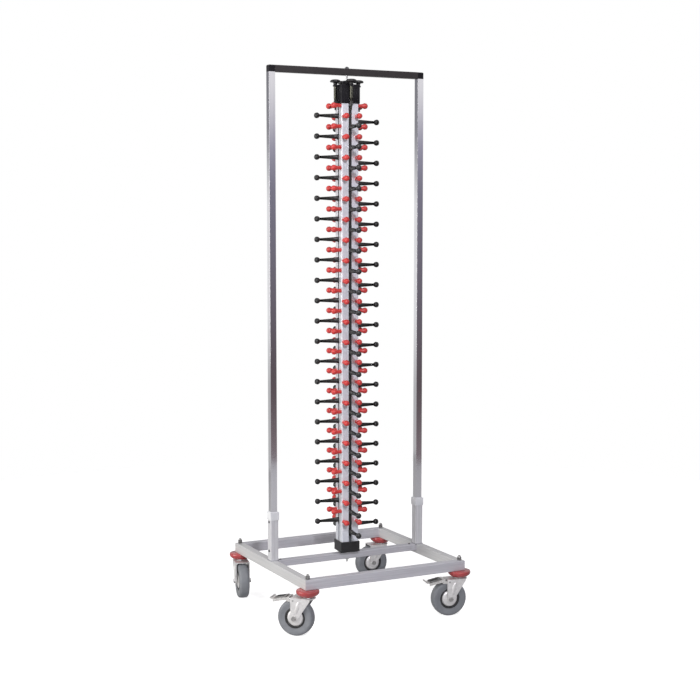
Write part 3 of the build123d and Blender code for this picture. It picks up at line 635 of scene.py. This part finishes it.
cover_shape = [(4.1, 18.6), (6.6, 18.6), (7.6, 18.0), (8.2, 16.2), (12.0, 15.2), (17.0, 14.9), (21.2, 13.9),
               (24.2, 12.2), (25.1, 10.4), (25.1, -10.4), (24.2, -12.2), (21.2, -13.9), (17.0, -14.9),
               (12.0, -15.2), (8.2, -16.2), (7.6, -18.0), (6.6, -18.6), (4.1, -18.6), (4.1, 18.6)]
levels = {}
for corner, heading in headings.items():
    level = Matrix.Translation((*stems[corner], 0)) @ Matrix.Rotation(radians(heading), 4, "Z")
    levels[corner] = level
    wheel = level @ Matrix.Translation((trail, 0, wheel_r)) @ Matrix.Rotation(pi / 2, 4, "X")
    on_fork, on_wheel = f"fork_{corner}", f"wheel_{corner}"
    dress(on_fork, f"pressed_fork_{corner}", on_fork, fork_zinc, "zinc_steel",
          long_round=1.0 * mm, rim_round=0.5 * mm, long_run=20 * mm)
    dress(f"axle_{corner}", f"axle_bolt_{corner}", on_fork, axle_zinc, "zinc_steel",
          long_round=0, rim_round=0.5 * mm)
    form = bmesh.new()
    for side in (-1, 1):
        ball = bmesh.ops.create_uvsphere(form, u_segments=20, v_segments=12, radius=1)["verts"]
        spot = Matrix.Translation((leg_bead_x, side * leg_bead_y, leg_bead_z))
        bmesh.ops.transform(form, matrix=level @ spot @ leg_lean, verts=ball)
    settle(form, f"leg_beads_{corner}", on_fork, fork_zinc, "zinc_steel", crease=80)
    form = turned(in_mm(tyre_shape), 72, wheel)
    settle(form, f"rubber_tyre_{corner}", on_wheel, tyre_rubber, "grey_tyre", f"tyre_{corner}", crease=60)
    form = turned(in_mm(rim_shape), 56, wheel)
    settle(form, f"black_rim_{corner}", on_wheel, rim_black, "black_plastic")
    form = turned(in_mm(cover_shape), 48, wheel)
    settle(form, f"bearing_cover_{corner}", on_wheel, cover_grey, "hub_plastic", f"hub_{corner}", crease=50)


# Brake pedals: folded, zinc-plated steel levers, riveted in the two front forks, with a
# rolled tip and a grey rubber pad with black ribs. Pressed down, they tip to the tyre.
pad_rubber = moulded("pad_rubber", (0.014, 0.014, 0.015), (0.028, 0.028, 0.029), smooth=0.5, rough=0.66,
                     grain=1400.0, patch=60.0, depth=0.1)
pad_grey = moulded("pad_grey", (0.15, 0.147, 0.143), (0.21, 0.205, 0.2), smooth=0.4, rough=0.55,
                   grain=1400.0, patch=60.0)
pedal_zinc = zinc_plate("pedal_zinc", (0.60, 0.59, 0.57), (0.74, 0.73, 0.71), smooth=0.22, rough=0.36,
                        metallic=0.6)
tip_place = Matrix.Translation((108.6 * mm, 0, 109 * mm)) @ Matrix.Rotation(pi / 2, 4, "X")
tip_shape = [(0, -18.8), (2.1, -18.8), (2.6, -18.3), (2.6, 18.3), (2.1, 18.8), (0, 18.8)]
pad_rib = (3 * mm, 17 * mm, 1.4 * mm)
pad_ribs = 7
pad_rib_pitch = 3.8 * mm
pad_x, pad_z = 71.4 * mm, 114.88 * mm
pad_fall = 0.2
for corner in ("front_left", "front_right"):
    level = levels[corner]
    body = f"pedal_{corner}"
    dress(f"brake_pedal_{corner}", f"folded_pedal_{corner}", body, pedal_zinc, "zinc_steel",
          long_round=0.6 * mm, rim_round=0.4 * mm, long_run=20 * mm)
    form = turned(in_mm(tip_shape), 20, level @ tip_place)
    settle(form, f"rolled_tip_{corner}", body, pedal_zinc, "zinc_steel")
    form = bmesh.new()
    for step in range(pad_ribs):
        along = step * pad_rib_pitch
        spot = Matrix.Translation((pad_x + along, 0, pad_z - pad_fall * along))
        block(form, pad_rib, level @ spot @ Matrix.Rotation(atan2(pad_fall, 1), 4, "Y"))
    soften(form, form.edges[:], radius=0.5 * mm)
    settle(form, f"pad_ribs_{corner}", body, pad_rubber, "grip_rubber")
    dress(f"pedal_grip_{corner}", f"pedal_pad_{corner}", body, pad_grey, "grip_rubber",
          long_round=0, rim_round=0.5 * mm)


# Floor: a plain pale disc that takes the soft shadow. It glows to the camera, and a little to
# mirror rays, so that it runs into the white background.
floor_form = bmesh.new()
bmesh.ops.create_circle(floor_form, cap_ends=True, segments=96, radius=2.6)
floor_mesh = bpy.data.meshes.new("floor")
floor_form.to_mesh(floor_mesh)
floor_form.free()
floor = stand("floor", floor_mesh)
floor_pale, floor_tree, floor_shader = new_material(
    "floor_pale",
    {"Base Color": (0.66, 0.66, 0.66, 1), "Roughness": 0.9, "Emission Color": (1, 1, 1, 1)},
)
floor_mesh.materials.append(floor_pale)
camera_glow = 0.78
mirror_glow = 0.04
floor_rays = floor_tree.nodes.new("ShaderNodeLightPath")
floor_mirrored = floor_tree.nodes.new("ShaderNodeMath")
floor_mirrored.operation = "MULTIPLY"
floor_mirrored.inputs[1].default_value = mirror_glow
floor_tree.links.new(floor_rays.outputs["Is Glossy Ray"], floor_mirrored.inputs[0])
floor_glow = floor_tree.nodes.new("ShaderNodeMath")
floor_glow.operation = "MULTIPLY_ADD"
floor_glow.inputs[1].default_value = camera_glow
floor_tree.links.new(floor_rays.outputs["Is Camera Ray"], floor_glow.inputs[0])
floor_tree.links.new(floor_mirrored.outputs["Value"], floor_glow.inputs[2])
floor_tree.links.new(floor_glow.outputs["Value"], floor_shader.inputs["Emission Strength"])


# Studio: camera rays see a white backdrop, mirror rays a near and a far side that change
# with height, and all others a dim room. A small key lamp stands in front, with soft boxes
# on the left and above.
world = bpy.data.worlds.new("studio")
bpy.context.scene.world = world
world.use_nodes = True
sky = world.node_tree
sky_way = sky.nodes.new("ShaderNodeTexCoord").outputs["Generated"]


def toward(direction):
    """How far a ray of the world points along a direction, from -1 to 1."""
    node = sky.nodes.new("ShaderNodeVectorMath")
    node.operation = "DOT_PRODUCT"
    node.inputs[1].default_value = direction
    sky.links.new(sky_way, node.inputs[0])
    return node.outputs["Value"]


room = sky.nodes["Background"]
room.inputs["Strength"].default_value = 0.22
room_share = spread(sky, toward((-0.66, 0.72, 0.2)), 0, 1, start=-0.8, end=0.9)
room_colour = tinted(sky, room_share, (0.36, 0.35, 0.42), (1, 0.995, 0.98), start=0, end=1)
sky.links.new(room_colour, room.inputs["Color"])


def studio_side(*stops):
    """What a side of the studio shows to mirror rays, by how steeply they point up."""
    steepest = 0.3
    ramp = sky.nodes.new("ShaderNodeValToRGB")
    while len(ramp.color_ramp.elements) < len(stops):
        ramp.color_ramp.elements.new(1)
    for element, (rise, colour) in zip(ramp.color_ramp.elements, stops):
        element.position = (rise + steepest) / (2 * steepest)
        element.color = (*colour, 1)
    sky.links.new(spread(sky, toward((0, 0, 1)), 0, 1, start=-steepest, end=steepest), ramp.inputs["Fac"])
    node = sky.nodes.new("ShaderNodeBackground")
    sky.links.new(ramp.outputs["Color"], node.inputs["Color"])
    return node.outputs["Background"]


def blend(share, first, second):
    """A mix of two shaders of the world by a value from 0 to 1."""
    node = sky.nodes.new("ShaderNodeMixShader")
    sky.links.new(share, node.inputs["Fac"])
    sky.links.new(first, node.inputs[1])
    sky.links.new(second, node.inputs[2])
    return node.outputs["Shader"]


near_side = studio_side(
    (-0.2, (0.34, 0.28, 0.30)),
    (-0.12, (0.125, 0.098, 0.106)),
    (0.02, (0.26, 0.25, 0.315)),
    (0.05, (0.42, 0.405, 0.50)),
    (0.09, (1.0, 0.99, 1.0)),
)
far_side = studio_side(
    (-0.12, (0.6, 0.6, 0.6)),
    (-0.07, (1, 1, 1)),
    (0.01, (1, 1, 1)),
    (0.06, (0.34, 0.34, 0.36)),
    (0.12, (0.24, 0.24, 0.26)),
    (0.24, (0.62, 0.62, 0.64)),
)
far_share = spread(sky, toward((-0.66, 0.75, 0)), 0, 1, start=-0.75, end=-0.1)
mirrored = blend(far_share, near_side, far_side)
white = sky.nodes.new("ShaderNodeBackground")
white.inputs["Color"].default_value = (1, 1, 1, 1)
sky_rays = sky.nodes.new("ShaderNodeLightPath")
seen = blend(sky_rays.outputs["Is Glossy Ray"], room.outputs["Background"], mirrored)
for ray in ("Is Camera Ray", "Is Transmission Ray"):
    seen = blend(sky_rays.outputs[ray], seen, white.outputs["Background"])
sky.links.new(seen, sky.nodes["World Output"].inputs["Surface"])


def look(spot, target):
    """The turn of a lamp or camera that looks from a spot to a target."""
    return (Vector(target) - Vector(spot)).to_track_quat("-Z", "Y").to_euler()


for name, spot, aim, size, power, tint in (
    ("key_box", (-1.0, -3.9, 2.5), (0, 0, 0.9), 0.3, 88, (0.94, 0.925, 1.0)),
    ("left_box", (-3.4, 0.2, 1.5), (0, 0, 0.8), 2.2, 94, (1.0, 0.985, 0.96)),
    ("top_box", (-0.6, -1.2, 3.6), (0, 0, 0.6), 2.4, 26, (1.0, 1.0, 1.0)),
):
    lamp = bpy.data.lights.new(name, "AREA")
    lamp.color = tint
    lamp.size = size
    lamp.energy = power
    light = stand(name, lamp)
    light.location = spot
    light.rotation_euler = look(spot, aim)


# Camera: to the left of the front, at about three quarters of the object's height, looking
# slightly down with a long lens.
eye = (-1.93965, -3.8587, 1.2060)
target = (0.0107, 0, 0.7979)
lens = bpy.data.cameras.new("camera")
lens.sensor_width = 36
lens.lens = 72.44
camera = stand("camera", lens)
camera.location = eye
camera.rotation_euler = look(eye, target)
bpy.context.scene.camera = camera
bpy.context.scene.view_settings.view_transform = "Standard"
